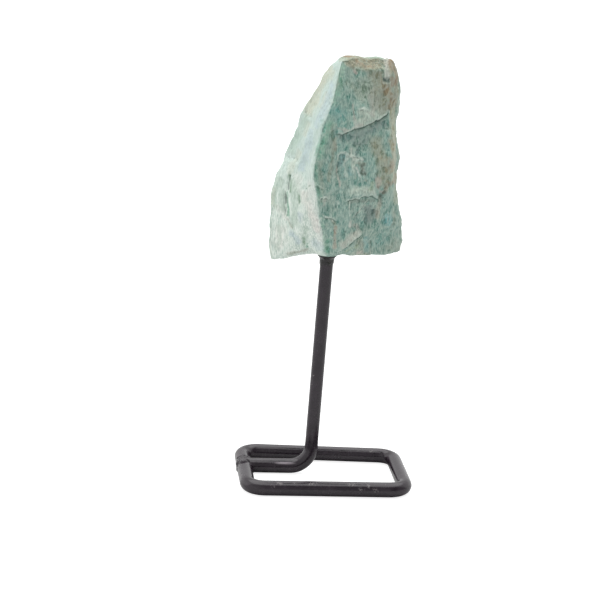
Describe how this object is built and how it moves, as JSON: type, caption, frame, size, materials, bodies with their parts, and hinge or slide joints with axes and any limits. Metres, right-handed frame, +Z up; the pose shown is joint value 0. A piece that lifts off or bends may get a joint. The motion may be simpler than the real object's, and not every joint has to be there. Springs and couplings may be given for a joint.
{
  "type": "rough amazonite on a wire pin stand",
  "caption": "Rough amazonite chunk glued on the upright of a bent black wire stand with a rounded rectangular loop base, for display on a shelf or desk.",
  "frame": {"origin": "on the ground, under the middle of the base loop, at the bottom centre of the bounding box", "axes": "+Z up, +X to the right seen from the front, +Y away from the viewer; the front ridge of the stone faces -Y"},
  "size_m": [0.0531, 0.0373, 0.1301],
  "materials": {
    "amazonite": "rough cleavage faces with pale streaks, teal patches and brown iron stains",
    "black_paint": "satin black paint with small scuffs",
    "glue": "dark glossy epoxy"
  },
  "bodies": {
    "root": {"amazonite": "amazonite", "base_loop": "black_paint", "stem": "black_paint", "glue_collar": "glue"}
  },
  "joints": []
}
